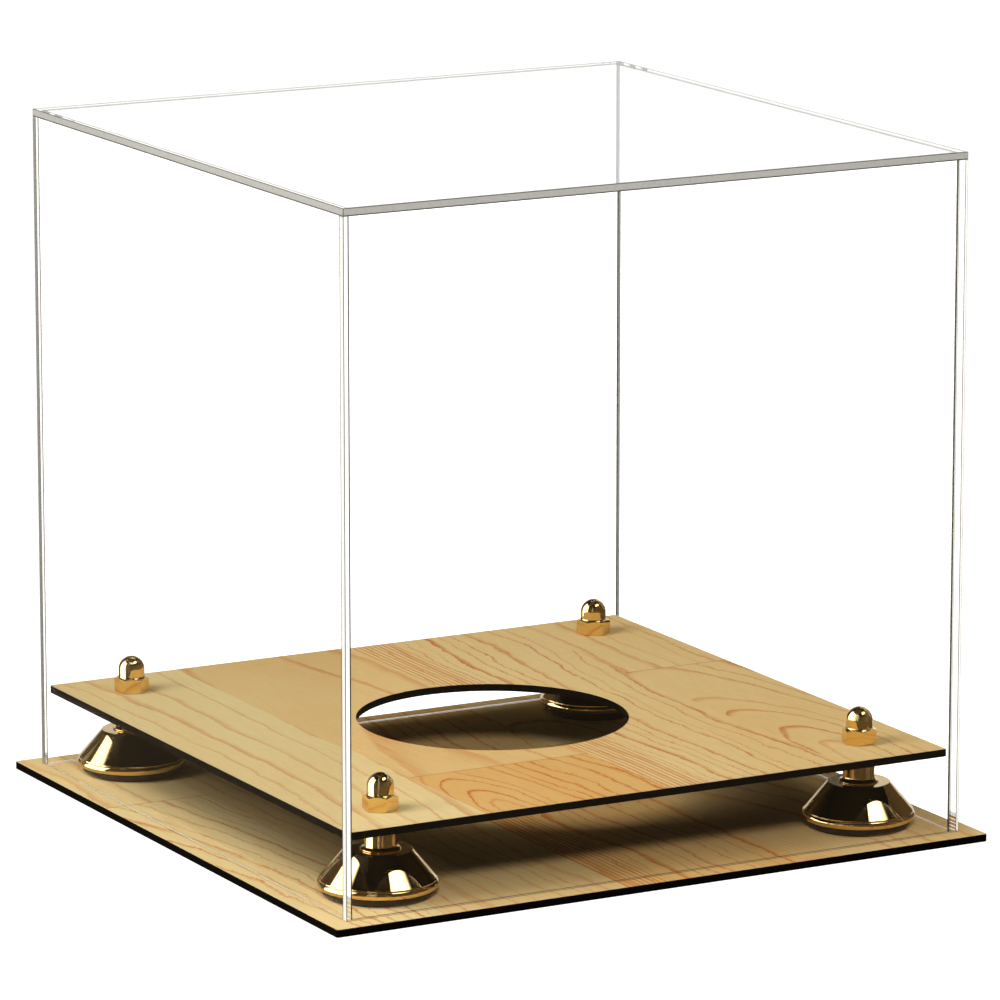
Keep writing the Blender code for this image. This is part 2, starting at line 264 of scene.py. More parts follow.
class Graph:
    """Short calls for building one node tree. Inputs may be numbers, colours or sockets."""

    def __init__(self, tree):
        self.tree = tree

    def add(self, kind, inputs=(), **settings):
        node = self.tree.nodes.new(kind)
        for name, value in settings.items():
            setattr(node, name, value)
        for name, value in dict(inputs).items():
            if isinstance(value, bpy.types.NodeSocket):
                self.tree.links.new(value, node.inputs[name])
            else:
                node.inputs[name].default_value = value
        return node

    def math(self, operation, *values, clamp=False):
        node = self.add("ShaderNodeMath", dict(enumerate(values)), operation=operation)
        node.use_clamp = clamp
        return node.outputs[0]

    def scaled(self, vector, scale, offset=(0, 0, 0)):
        node = self.add("ShaderNodeMapping", {"Vector": vector, "Location": offset, "Scale": scale})
        return node.outputs[0]

    def noise(self, vector, scale, detail=2.0, roughness=0.5, distortion=0.0):
        inputs = {
            "Vector": vector, "Scale": scale, "Detail": detail,
            "Roughness": roughness, "Distortion": distortion,
        }
        return self.add("ShaderNodeTexNoise", inputs).outputs["Fac"]

    def between(self, value, low, high, out_low=0.0, out_high=1.0):
        """Maps a value smoothly from one range to another."""
        inputs = {
            "Value": value, "From Min": low, "From Max": high,
            "To Min": out_low, "To Max": out_high,
        }
        return self.add("ShaderNodeMapRange", inputs, interpolation_type="SMOOTHSTEP").outputs[0]

    def mix(self, factor, first, second, blend="MIX"):
        node = self.add("ShaderNodeMix", data_type="RGBA", blend_type=blend)
        for socket, value in zip((node.inputs[0], node.inputs[6], node.inputs[7]),
                                 (factor, first, second)):
            if isinstance(value, bpy.types.NodeSocket):
                self.tree.links.new(value, socket)
            else:
                socket.default_value = value
        return node.outputs[2]

    def grey(self, value):
        inputs = {"X": value, "Y": value, "Z": value}
        return self.add("ShaderNodeCombineXYZ", inputs).outputs[0]

    def bump(self, height, distance, strength=1.0):
        inputs = {"Height": height, "Distance": distance, "Strength": strength}
        return self.add("ShaderNodeBump", inputs).outputs[0]

    def steps(self, value, stops):
        """Looks a number up by position: stops is a list of (position, number)."""
        low, high = min(n for _, n in stops), max(n for _, n in stops)
        reach = max(high - low, 1e-6)
        node = self.add("ShaderNodeValToRGB", {"Fac": value})
        ramp = node.color_ramp
        ramp.interpolation = "CONSTANT"
        for i, (position, number) in enumerate(stops):
            stop = ramp.elements[i] if i < 1 else (
                ramp.elements[1] if i == 1 else ramp.elements.new(position))
            stop.position = position
            share = (number - low) / reach
            stop.color = (share, share, share, 1.0)
        grown = self.math("MULTIPLY", node.outputs[0], reach)
        return self.math("ADD", grown, low)


def srgb(red, green, blue):
    """A colour given as 0 to 255 screen values, as the linear one that a shader takes."""
    def linear(value):
        share = value / 255
        return share / 12.92 if share <= 0.04045 else ((share + 0.055) / 1.055) ** 2.4
    return (linear(red), linear(green), linear(blue), 1.0)


def new_material(name):
    """An empty node material: its graph, its Principled shader and its position in millimetres."""
    made = bpy.data.materials.new(name)
    made.use_nodes = True
    made.node_tree.nodes.clear()
    graph = Graph(made.node_tree)
    shader = graph.add("ShaderNodeBsdfPrincipled")
    output = graph.add("ShaderNodeOutputMaterial", {"Surface": shader.outputs[0]})
    place = graph.scaled(graph.add("ShaderNodeTexCoord").outputs["Object"], (1000, 1000, 1000))
    return made, graph, shader, place, output


def connect(graph, shader, **inputs):
    """Sets or links a shader's inputs, each named with underscores for spaces."""
    for name, value in inputs.items():
        socket = shader.inputs[name.replace("_", " ")]
        if isinstance(value, bpy.types.NodeSocket):
            graph.tree.links.new(value, socket)
        else:
            socket.default_value = value


# ---------------------------------------------------------------- materials

PALE = srgb(234, 212, 154)
PEACH = srgb(224, 168, 92)
ORANGE_LINE = srgb(196, 96, 22)
SEAM = srgb(186, 128, 66)

# A plank: the left seam, the joint across it, then its front and its back length, each with
# tone (0 pale to 1 orange), the tree's centre across and below, the lean of the trunk, the ring
# width, how strong the rings are, and how strong a comb of fine lines along the left seam is.
SHELF_PLANKS = [
    (-161.5, 400, (0.10, -10, 60, 0.04, 11, 0.55, 0.0), None),
    (-79, -73, (0.75, -42, 42, 0.30, 6.5, 1.0, 0.0), (0.45, -30, 60, 0.05, 12, 0.5, 0.0)),
    (4, 400, (0.30, 150, 40, 0.03, 6, 0.9, 1.0), None),
    (86, 40, (0.35, 118, 30, 0.22, 8, 0.75, 0.0), (0.30, 60, 60, 0.03, 9, 0.6, 0.0)),
]
BASE_PLANKS = [
    (-185, 60, (0.15, -150, 30, 0.16, 6, 0.9, 0.0), (0.2, -80, 60, 0.03, 9, 0.5, 0.0)),
    (-102.5, 400, (0.40, -230, 50, 0.06, 9, 0.6, 0.0), None),
    (-20, 400, (0.70, 140, 40, 0.04, 7, 0.9, 1.0), None),
    (62.5, -20, (0.45, 90, 45, 0.10, 9, 0.6, 0.3), (0.4, 90, 45, 0.15, 8, 0.7, 0.0)),
    (145, 400, (0.2, 60, 60, 0.03, 9, 0.5, 0.0), None),
]
PLANK_FIELDS = ("tone", "pith", "depth", "lean", "ring", "strength", "comb")
PLANK_SPAN = 390.0        # mm, the stretch of X that the plank lookups cover
COMB_WIDTH = 23.0         # mm, how far the fine lines reach from the seam
COMB_PITCH = 2.3          # mm from one fine line to the next


def plank_material(name, planks):
    """Printed planks that run front to back, each with its own tone and growth rings."""
    made, graph, shader, place, _ = new_material(name)
    parts = graph.add("ShaderNodeSeparateXYZ", {"Vector": place})
    x, y = parts.outputs["X"], parts.outputs["Y"]
    across = graph.math("DIVIDE", graph.math("ADD", x, PLANK_SPAN / 2), PLANK_SPAN)

    def spot(seam):
        return max(0.0, (seam + PLANK_SPAN / 2) / PLANK_SPAN)

    seam = graph.steps(across, [(spot(p[0]), p[0]) for p in planks])
    joint = graph.steps(across, [(spot(p[0]), p[1]) for p in planks])
    behind = graph.math("GREATER_THAN", y, joint)
    field = {}
    for i, key in enumerate(PLANK_FIELDS):
        front = graph.steps(across, [(spot(p[0]), p[2][i]) for p in planks])
        back = graph.steps(across, [(spot(p[0]), (p[3] or p[2])[i]) for p in planks])
        share = graph.math("MULTIPLY", behind, graph.math("SUBTRACT", back, front))
        field[key] = graph.math("ADD", front, share)

    # Slow wander of the grain, then a finer tremble along it
    wander = graph.noise(graph.scaled(place, (0.012, 0.006, 0), (3.1, 7.7, 0)), 1.0, 2.0)
    tremble = graph.noise(graph.scaled(place, (0.10, 0.05, 0)), 1.0, 4.0, 0.6)
    jag = graph.noise(graph.scaled(place, (0.45, 0.60, 0), (5, 9, 0)), 1.0, 2.0, 0.6)
    shiver = graph.math("ADD", graph.math("MULTIPLY", tremble, 6.0),
                        graph.math("MULTIPLY", jag, 2.6))
    drift = graph.math("ADD", graph.math("MULTIPLY", wander, 34.0), shiver)
    side = graph.math("ADD", graph.math("SUBTRACT", x, field["pith"]), drift)
    sink = graph.math("ADD", field["depth"], graph.math("MULTIPLY", y, field["lean"]))
    from_pith = graph.math("SQRT", graph.math(
        "ADD", graph.math("MULTIPLY", side, side), graph.math("MULTIPLY", sink, sink)))
    ring = graph.math("DIVIDE", from_pith, field["ring"])
    uneven = graph.noise(graph.add("ShaderNodeCombineXYZ", {"X": ring}).outputs[0], 0.45, 1.0)
    ring = graph.math("ADD", ring, graph.math("MULTIPLY", uneven, 2.4))
    phase = graph.math("FRACT", ring)
    late = graph.math("MULTIPLY", graph.between(phase, 0.76, 0.95),
                      graph.between(phase, 1.0, 0.965))
    year = graph.math("FLOOR", ring)
    luck = graph.add("ShaderNodeTexWhiteNoise", {"W": year}, noise_dimensions="1D").outputs["Value"]
    late = graph.math("MULTIPLY", late, graph.between(luck, 0.0, 1.0, 0.5, 1.0))
    broken = graph.noise(graph.scaled(place, (0.35, 0.02, 0)), 1.0, 3.0, 0.6)
    late = graph.math("MULTIPLY", late, graph.between(broken, 0.30, 0.62, 0.55, 1.0))
    late = graph.math("MULTIPLY", late, field["strength"])

    # Comb of fine straight lines next to a seam
    inside = graph.math("SUBTRACT", x, seam)
    bent = graph.math("ADD", x, graph.math("MULTIPLY", wander, 6.0))
    comb_wave = graph.math("SINE", graph.math("MULTIPLY", bent, math.tau / COMB_PITCH))
    comb = graph.math("MULTIPLY", graph.between(comb_wave, 0.3, 1.0),
                      graph.between(inside, COMB_WIDTH, COMB_WIDTH - 6))
    comb = graph.math("MULTIPLY", comb, graph.math("MULTIPLY", field["comb"], 0.8))
    lines = graph.math("MAXIMUM", late, comb)

    # Fibres and slow changes of tone
    fibre = graph.noise(graph.scaled(place, (1.6, 0.06, 0)), 1.0, 5.0, 0.65)
    cloud = graph.noise(graph.scaled(place, (0.02, 0.008, 0), (11, 2, 0)), 1.0, 3.0)
    tone = graph.math("ADD", field["tone"], graph.math(
        "MULTIPLY", graph.math("SUBTRACT", cloud, 0.5), 0.5), clamp=True)
    ground = graph.mix(tone, PALE, PEACH)
    shade = graph.grey(graph.between(fibre, 0.25, 0.75, 0.90, 1.04))
    ground = graph.mix(1.0, ground, shade, "MULTIPLY")
    wood = graph.mix(graph.math("MULTIPLY", lines, 0.95), ground, ORANGE_LINE)

    # Seams between planks
    from_seam = graph.between(inside, 0.35, 0.75, 1.0, 0.0)
    from_joint = graph.between(
        graph.math("ABSOLUTE", graph.math("SUBTRACT", y, joint)), 0.1, 0.5, 1.0, 0.0)
    gap = graph.math("MULTIPLY", graph.math("MAXIMUM", from_seam, from_joint), 0.85)
    wood = graph.mix(gap, wood, SEAM)

    # Emboss: pores along the grain and a fine pebble
    pebble = graph.noise(graph.scaled(place, (1.1, 0.9, 1.0)), 1.0, 2.0)
    height = graph.math("ADD", graph.math("MULTIPLY", fibre, 0.6), pebble)
    height = graph.math("SUBTRACT", height, graph.math("MULTIPLY", gap, 0.8))
    rough = graph.between(pebble, 0.3, 0.7, 0.30, 0.40)
    connect(graph, shader, Base_Color=wood, Roughness=rough, IOR=1.5, Specular_IOR_Level=0.0,
            Normal=graph.bump(height, 0.00003, 0.6))
    return made


def gold_material():
    """Bright gold plating over polished brass, with faint turning lines and dust."""
    made, graph, shader, place, _ = new_material("polished_gold_plate")
    ripple = graph.noise(graph.scaled(place, (0.05, 0.05, 3.0)), 1.0, 2.0)
    stain = graph.noise(graph.scaled(place, (0.08, 0.08, 0.08)), 1.0, 3.0)
    dust = graph.between(graph.noise(graph.scaled(place, (4, 4, 4)), 1.0, 1.0), 0.70, 0.80)
    colour = graph.mix(graph.between(stain, 0.3, 0.7), srgb(244, 213, 150), srgb(238, 204, 138))
    rough = graph.math("ADD", graph.between(stain, 0.3, 0.8, 0.035, 0.06),
                       graph.math("MULTIPLY", dust, 0.12))
    connect(graph, shader, Base_Color=colour, Metallic=1.0, Roughness=rough,
            Normal=graph.bump(ripple, 0.000002, 0.5))
    return made


def black_material():
    """Black acrylic: deep black, fine dust and a trace of saw marks."""
    made, graph, shader, place, _ = new_material("black_acrylic_sheet")
    haze = graph.noise(graph.scaled(place, (0.15, 0.15, 0.4)), 1.0, 3.0)
    saw = graph.noise(graph.scaled(place, (2.5, 2.5, 0.25)), 1.0, 3.0)
    dust = graph.between(graph.noise(graph.scaled(place, (3, 3, 3)), 1.0, 1.0), 0.72, 0.80)
    colour = graph.mix(graph.math("MULTIPLY", dust, 0.3), srgb(8, 7, 6), srgb(50, 46, 40))
    rough = graph.math("ADD", graph.between(haze, 0.3, 0.7, 0.10, 0.18),
                       graph.math("MULTIPLY", dust, 0.3))
    connect(graph, shader, Base_Color=colour, Roughness=rough, IOR=1.49, Specular_IOR_Level=0.1,
            Normal=graph.bump(saw, 0.000008, 0.5))
    return made


def rubber_material():
    """Dark brown moulded rubber with a fine matt grain and worn patches."""
    made, graph, shader, place, _ = new_material("dark_moulded_rubber")
    grain = graph.noise(graph.scaled(place, (3, 3, 3)), 1.0, 3.0)
    wear = graph.noise(graph.scaled(place, (0.2, 0.2, 0.2)), 1.0, 2.0)
    colour = graph.mix(graph.between(wear, 0.3, 0.7), srgb(30, 20, 13), srgb(44, 31, 21))
    connect(graph, shader, Base_Color=colour, Roughness=graph.between(grain, 0.3, 0.7, 0.5, 0.65),
            Normal=graph.bump(grain, 0.00002, 0.6))
    return made


def steel_material():
    """Plain steel fasteners with fine drawn lines along the shank."""
    made, graph, shader, place, _ = new_material("plain_steel")
    drawn = graph.noise(graph.scaled(place, (6, 6, 0.3)), 1.0, 3.0)
    stain = graph.noise(graph.scaled(place, (0.5, 0.5, 0.5)), 1.0, 3.0)
    colour = graph.mix(graph.between(stain, 0.3, 0.7), srgb(196, 194, 188), srgb(170, 167, 160))
    connect(graph, shader, Base_Color=colour, Metallic=1.0,
            Roughness=graph.between(drawn, 0.3, 0.7, 0.2, 0.36),
            Normal=graph.bump(drawn, 0.00001, 0.4))
    return made


PAINTED_GLOW_COLOUR = srgb(250, 248, 240)     # painted glow: the colour that stands in for light that has run along inside a sheet
TOP_SHEET_FROM = (281.0, 283.0)       # mm, the levels between which the walls end
WALL_AT = 138.0                       # mm, how far the walls stand from the case's axis

# Cut edges, and fine chamfers and beads: colour, share of the light let through, and the strength
# of a
#  painted glow on the upright edges at the front, on those at the back, and on the top sheet's
#  edges
CUT_EDGE_LOOK = ((0.26, 0.255, 0.235, 1), 0.08, (0.78, 0.0, 0.25))
# painted shade: the chamfers' and beads' near-black colour stands in for the dark room that these
# small clear faces refract
FINE_LOOK = ((0.06, 0.05, 0.03, 1), 0.10, (0.0, 0.0, 0.0))


def acrylic_material():
    """Clear cast acrylic. Light falls through it unbent, so that the inside stays evenly lit, and a
    painted pale glow stands in for light that runs along inside a sheet: rays past three glossy
    bounces pick it up."""
    made, graph, shader, place, output = new_material("clear_cast_acrylic")
    cast = graph.noise(graph.scaled(place, (0.01, 0.01, 0.01)), 1.0, 1.0)
    path = graph.add("ShaderNodeLightPath").outputs
    # painted glow: rays that have had more than three glossy bounces get a pale emission
    painted_bounce_glow = graph.math("GREATER_THAN", path["Glossy Depth"], 3.5)
    connect(graph, shader, Base_Color=WHITE, Roughness=0.0, IOR=1.49, Transmission_Weight=1.0,
            Emission_Color=PAINTED_GLOW_COLOUR, Emission_Strength=graph.math("MULTIPLY", painted_bounce_glow, 0.7),
            Normal=graph.bump(cast, 0.0002, 0.2))
    unbent(graph, shader, path, output)
    return made


def cut_acrylic_material(name, colour, clear, glow):
    """A sawn and scraped edge of the clear sheet: a satin grey that lets a share of the light
    through, named clear. The glow is painted: an emission standing in for the light that the
    sheets carry, set by place for their upright edges at the case's front and at its back, and
    for the edges of the top sheet."""
    made, graph, shader, place, output = new_material(name)
    saw = graph.noise(graph.scaled(place, (0.8, 0.8, 0.8)), 1.0, 3.0)
    path = graph.add("ShaderNodeLightPath").outputs
    parts = graph.add("ShaderNodeSeparateXYZ", {"Vector": place}).outputs
    front_glow, back_glow, top_glow = glow
    # painted glow, set by place: the front strength blends to the back strength along the walls,
    # and the top sheet's edges take their own
    up = graph.between(parts["Z"], *TOP_SHEET_FROM)
    painted_edge_glow = graph.between(parts["Y"], -WALL_AT, WALL_AT, front_glow, back_glow)
    painted_edge_glow = graph.math("ADD", graph.math("MULTIPLY", painted_edge_glow, graph.math("SUBTRACT", 1.0, up)),
                         graph.math("MULTIPLY", up, top_glow))
    patch = graph.mix(graph.between(saw, 0.35, 0.65, 0.0, 0.03), colour, (0.85, 0.86, 0.84, 1.0))
    connect(graph, shader, Base_Color=patch, Roughness=graph.between(saw, 0.3, 0.7, 0.27, 0.31),
            IOR=1.49, Transmission_Weight=clear, Emission_Color=PAINTED_GLOW_COLOUR,
            Emission_Strength=painted_edge_glow, Normal=graph.bump(saw, 0.00002, 0.05))
    unbent(graph, shader, path, output)
    return made


def unbent(graph, shader, path, output):
    """Lets shadow rays and soft rays go straight through a shader."""
    through = graph.math("MAXIMUM", path["Is Shadow Ray"], path["Is Diffuse Ray"])
    clear = graph.add("ShaderNodeBsdfTransparent", {"Color": (0.97, 0.97, 0.97, 1)})
    both = graph.add("ShaderNodeMixShader", {
        0: through, 1: shader.outputs[0], 2: clear.outputs[0]})
    graph.tree.links.new(both.outputs[0], output.inputs["Surface"])


# ---------------------------------------------------------------- the object

def build_boards(black):
    """The two boards and their printed laminates, with bolt holes and the ball's hole."""
    laminates = {
        "base": plank_material("plank_print_base", BASE_PLANKS),
        "shelf": plank_material("plank_print_shelf", SHELF_PLANKS),
    }
    bolts = [axis_of("riser_bolt_" + corner)[0] for corner in CORNERS]
    for level, print_surface in laminates.items():
        low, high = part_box(level + "_board")
        film_low, film_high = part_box(level + "_laminate")
        board_high = Vector((high.x, high.y, film_high.z - PRINT_DEPTH))
        board = slab(level + "_black_sheet", low, board_high, BOARD_CORNER, BOARD_EDGE)
        film = slab(
            level + "_plank_film",
            Vector((film_low.x + PRINT_INSET, film_low.y + PRINT_INSET, board_high.z)),
            Vector((film_high.x - PRINT_INSET, film_high.y - PRINT_INSET, film_high.z)),
            PRINT_CORNER,
        )
        below, above = low.z - MM, film_high.z + MM
        for axis in bolts:
            for piece in (board, film):
                drill(piece, axis, BOLT_HOLE, below, above)
            if level == "base":
                drill(board, axis, BOLT_HOLE, below, low.z + SINK_DEPTH, low_radius=SINK_MOUTH)
        if level == "shelf":
            for piece in (board, film):
                drill(piece, Vector((0, 0, 0)), BALL_HOLE, below, above, steps=BALL_HOLE_STEPS)
        finish_piece(board, black, "stand", "black_acrylic", level + "_board")
        finish_piece(film, print_surface, "stand", "plank_laminate", level + "_laminate")


def build_bell(corner, gold):
    """Bell: flat roof, straight cone, a fine step and a rounded rim, hollow underneath."""
    node = "riser_bell_" + corner
    axis, low, high = axis_of(node)
    rim = (high.x - low.x) / 2
    cone_edge = low.z + CONE_EDGE
    ceiling = high.z - BELL_WALL
    profile = rounded([
        (BOLT_HOLE, high.z, 0),
        (BELL_ROOF, high.z, 0.25 * MM),
        (rim - CONE_INSET, cone_edge + 0.25 * MM, 0.25 * MM),
        (rim - CONE_INSET, cone_edge - 0.15 * MM, 0.12 * MM),
        (rim - 0.45 * MM, cone_edge - 0.3 * MM, 0),
    ])
    profile += arc((rim - RIM_ROUND, low.z + RIM_LEVEL), RIM_ROUND, 45, -52, 12)
    profile += rounded([
        (rim - 1.1 * MM, low.z + 0.25 * MM, 0),
        (rim - 1.5 * MM, low.z, 0.1 * MM),
        (BELL_INSIDE, low.z, 0.1 * MM),
        (BELL_INSIDE, cone_edge, 0.4 * MM),
        (BELL_INSIDE_TOP, ceiling, 0.4 * MM),
        (BOLT_HOLE, ceiling, 0),
    ])
    piece = turned("bell_" + corner, profile, axis)
    finish_piece(piece, gold, "stand", "gold_plate", node)


def build_foot(corner, rubber):
    """Foot: a rubber ring under the rim with a lip inside the bell."""
    node = "riser_foot_" + corner
    axis, low, high = axis_of(node)
    shoulder, sole = low.z + FOOT_SHOULDER, low.z - CONTACT
    profile = rounded([
        (FOOT_LIP, high.z, 0),
        (FOOT_LIP, shoulder, 0),
        (FOOT_WIDE, shoulder, 0.3 * MM),
        (FOOT_WAIST, low.z + 1.2 * MM, 0.5 * MM),
        (FOOT_SOLE, sole, 0.5 * MM),
        (FOOT_BORE, sole, 0.4 * MM),
        (FOOT_BORE, high.z, 0),
    ])
    piece = turned("foot_" + corner, profile, axis)
    finish_piece(piece, rubber, "stand", "foot_rubber", node)


def build_spacer(corner, gold):
    """Spacer: a neck whose foot flares to a thin flange on the bell's roof."""
    node = "riser_spacer_" + corner
    axis, low, high = axis_of(node)
    flange = (high.x - low.x) / 2
    flare, lip, chamfer = flange - NECK, 0.3 * MM, 0.2 * MM
    low_z, high_z = low.z - CONTACT, high.z + CONTACT
    profile = [(BOLT_HOLE, high_z), (NECK - chamfer, high_z), (NECK, high_z - chamfer)]
    profile += arc((NECK + flare, low_z + 2 * lip + flare), flare, 180, 262, 14)
    profile += arc((flange - lip, low_z + lip), lip, 75, -75, 6)
    profile += [(BOLT_HOLE, low_z)]
    piece = turned("spacer_" + corner, profile, axis)
    finish_piece(piece, gold, "stand", "gold_plate", node)


def hexagon_reach(angle, flats, corner):
    """Distance from a hexagon's centre to its outline, with rounded corners."""
    inner = flats / 2
    sector = math.radians(60)
    off_face = (angle + sector / 2) % sector - sector / 2
    straight = math.atan((inner - corner) * math.tan(sector / 2) / inner)
    if abs(off_face) <= straight:
        return inner / math.cos(off_face)
    to_corner = sector / 2 - abs(off_face)
    centre = (inner - corner) / math.cos(sector / 2)
    return centre * math.cos(to_corner) + math.sqrt(
        corner ** 2 - (centre * math.sin(to_corner)) ** 2)


def build_nut(corner, turn, gold):
    """Acorn nut: a chamfered hexagon, a dome that flares into it, and a blind bore."""
    node = "acorn_nut_" + corner
    axis, low, high = axis_of(node)
    bottom, peak = low.z - NUT_SEAT, high.z + CONTACT
    top, spring, drill_tip = bottom + NUT_HEXAGON, peak - NUT_DOME, bottom + NUT_BORE_DEPTH
    inner = NUT_FLATS / 2
    chamfer = inner - NUT_CHAMFER_INSET
    sector = math.radians(60)
    reach = math.atan((inner - NUT_EDGE) * math.tan(sector / 2) / inner)
    angles = []
    for side in range(6):
        middle = side * sector
        angles += [middle - reach + 2 * reach * i / FACE_STEPS for i in range(FACE_STEPS + 1)]
        rest = sector - 2 * reach
        angles += [middle + reach + rest * i / EDGE_STEPS for i in range(1, EDGE_STEPS)]
    flare = arc((NUT_DOME + NUT_FLARE, top + NUT_FLARE), NUT_FLARE, 268, 180, 8)
    cap = arc((0, spring), NUT_DOME, 0, 85, 17)
    soften, drop, rise = 0.06 * MM, 0.04 * MM, 0.035 * MM
    bm = bmesh.new()
    columns = []
    for angle in angles:
        wide = hexagon_reach(angle, NUT_FLATS, NUT_EDGE)
        fall = max(0.0, wide - chamfer) * NUT_CHAMFER_SLOPE
        rim, foot = top - fall, bottom + fall * NUT_FOOT_SHARE
        outline = [(NUT_BORE, drill_tip - NUT_BORE_POINT), (NUT_BORE, bottom + 0.4 * MM)]
        outline += [(NUT_BORE + 0.4 * MM, bottom), (chamfer, bottom)]
        outline += [(wide - soften, foot - rise), (wide, foot + drop)]
        outline += [(wide, rim - drop), (wide - soften, rim + rise)]
        outline += [(chamfer, top)] + flare + cap
        columns.append([
            bm.verts.new((r * math.cos(angle), r * math.sin(angle), z)) for r, z in outline])
    crown = bm.verts.new((0, 0, peak))
    tip = bm.verts.new((0, 0, drill_tip))
    for here, after in zip(columns, columns[1:] + columns[:1]):
        for a, b, c, d in zip(here, after, after[1:], here[1:]):
            bm.faces.new((a, b, c, d))
        bm.faces.new((here[-1], after[-1], crown))
        bm.faces.new((here[0], after[0], tip))
    piece = mesh_object("nut_" + corner, bm)
    piece.data.transform(Matrix.Translation((axis.x, axis.y, 0)) @ Matrix.Rotation(turn, 4, "Z"))
    smooth(piece)
    finish_piece(piece, gold, "stand", "gold_plate", node)


def build_bolt(corner, steel):
    """Bolt: countersunk head in the base, plain shank, and a rounded end inside the nut."""
    node = "riser_bolt_" + corner
    axis, low, high = axis_of(node)
    land = low.z + 0.3 * MM
    profile = rounded([
        (0, high.z, 0),
        (BOLT_SHANK, high.z, 0.6 * MM),
        (BOLT_SHANK, land + BOLT_HEAD - BOLT_SHANK, 0.5 * MM),
        (BOLT_HEAD, land, 0.15 * MM),
        (BOLT_HEAD, low.z, 0.1 * MM),
        (0, low.z, 0),
    ])
    piece = turned("bolt_" + corner, profile, axis, steps=64, closed=False)
    drill(piece, axis, HEX_SOCKET, low.z - MM, low.z + SOCKET_DEPTH, steps=6)
    finish_piece(smooth(piece), steel, "stand", "bolt_steel", node)


def build_cover(acrylics):
    """The cover as one welded shell: five sheets with softened edges, and the beads of weld along
    their inside corners, grown together. Its materials are for the faces, the cut edges, and the
    fine chamfers and beads."""
    top_low, top_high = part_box("cover_top")
    wall_low, wall_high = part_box("cover_front")
    sheet = wall_high.y - wall_low.y
    base_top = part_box("base_laminate")[1].z
    width = top_high.x
    inner = width - sheet
    joined, ceiling = inner + WELD, top_low.z + WELD
    sheets = {
        "cover_front": ((-width, -width, base_top), (width, -inner, ceiling)),
        "cover_back": ((-width, inner, base_top), (width, width, ceiling)),
        "cover_left": ((-width, -joined, base_top), (-inner, joined, ceiling)),
        "cover_right": ((inner, -joined, base_top), (width, joined, ceiling)),
        "cover_top": ((-width, -width, top_low.z), (width, width, top_high.z)),
    }
    shell, *others = [slab(name + "_sheet", Vector(low), Vector(high), 0, SHEET_EDGE)
                      for name, (low, high) in sheets.items()]
    for x, y, bead in UPRIGHT_BEADS:
        across = sorted((x * (inner - bead), x * joined))
        along = sorted((y * (inner - bead), y * joined))
        others.append(slab("bead", Vector((across[0], along[0], base_top)),
                           Vector((across[1], along[1], ceiling))))
    below = top_low.z - LEVEL_BEAD
    for side in (-1, 1):
        start, end = sorted((side * (inner - LEVEL_BEAD), side * joined))
        others.append(slab("bead", Vector((-joined, start, below)), Vector((joined, end, ceiling))))
        others.append(slab("bead", Vector((start, -joined, below)), Vector((end, joined, ceiling))))
    for other in others:
        join = shell.modifiers.new("Weld", "BOOLEAN")
        join.operation = "UNION"
        join.object = other
        apply_modifiers(shell)
        bpy.data.objects.remove(other)
    shell.name = "cover_shell"
    shell.data.name = "cover_shell"
    finish_piece(shell, acrylics[FACE], "cover", "clear_acrylic", *sheets)
    for surface in acrylics[CUT_EDGE:]:
        shell.data.materials.append(surface)
    for face in shell.data.polygons:
        corners = [shell.data.vertices[i].co for i in face.vertices]
        spans = sorted(max(c[i] for c in corners) - min(c[i] for c in corners) for i in range(3))
        narrow = math.hypot(spans[0], spans[1])
        # broad faces stay clear, middling ones are cut edges, and the narrowest take the painted
        # dark-line material
        kind = FACE if narrow > 2 * sheet else (CUT_EDGE if narrow > sheet / 3 else FINE)
        # painted dark line: the front wall's underside takes the same near-black material, the
        # other walls' undersides stay clear
        underneath = face.normal.z < -0.5 and face.center.z < top_low.z / 2
        if underneath and narrow < 2 * sheet:
            kind = FINE if face.center.y < -inner else FACE
        face.material_index = kind


def build_object():
    gold, black = gold_material(), black_material()
    rubber, steel = rubber_material(), steel_material()
    build_boards(black)
    for corner, turn in CORNERS.items():
        build_bell(corner, gold)
        build_foot(corner, rubber)
        build_spacer(corner, gold)
        build_bolt(corner, steel)
        build_nut(corner, turn, gold)
    build_cover([
        acrylic_material(),
        cut_acrylic_material("clear_acrylic_cut_edge", *CUT_EDGE_LOOK),
        cut_acrylic_material("clear_acrylic_chamfer", *FINE_LOOK),
    ])


# ---------------------------------------------------------------- studio and camera

def direction(azimuth, elevation):
    """The unit vector from the case towards a place round it. Azimuth 0 is the case's front."""
    return Vector((
        math.sin(azimuth) * math.cos(elevation),
        -math.cos(azimuth) * math.cos(elevation),
        math.sin(elevation),
    ))


def add_camera():
    back = direction(CAMERA_AZIMUTH, CAMERA_ELEVATION)
    right = Vector((math.cos(CAMERA_AZIMUTH), math.sin(CAMERA_AZIMUTH), 0))
    data = bpy.data.cameras.new("camera")
    data.sensor_width = 36.0
    data.lens = CAMERA_LENS
    data.clip_start, data.clip_end = 0.05, 30.0
    camera = bpy.data.objects.new("camera", data)
    camera.location = CAMERA_TARGET + back * CAMERA_DISTANCE + right * CAMERA_ASIDE
    camera.rotation_mode = "QUATERNION"
    camera.rotation_quaternion = (-back).to_track_quat("-Z", "Y")
    bpy.context.scene.collection.objects.link(camera)
    bpy.context.scene.camera = camera


def add_softbox(name, azimuth, elevation, distance, width, height, power):
    """A rectangular studio light that faces the case. It lights and is never seen itself."""
    data = bpy.data.lights.new(name, "AREA")
    data.shape = "RECTANGLE"
    data.size, data.size_y = width, height
    data.energy = power
    light = bpy.data.objects.new(name, data)
    towards = direction(math.radians(azimuth), math.radians(elevation))
    light.location = LIT_SPOT + towards * distance
    light.rotation_mode = "QUATERNION"
    light.rotation_quaternion = towards.to_track_quat("Z", "Y")
    light.visible_camera = False
    light.visible_glossy = False
    light.visible_transmission = False
    bpy.context.scene.collection.objects.link(light)


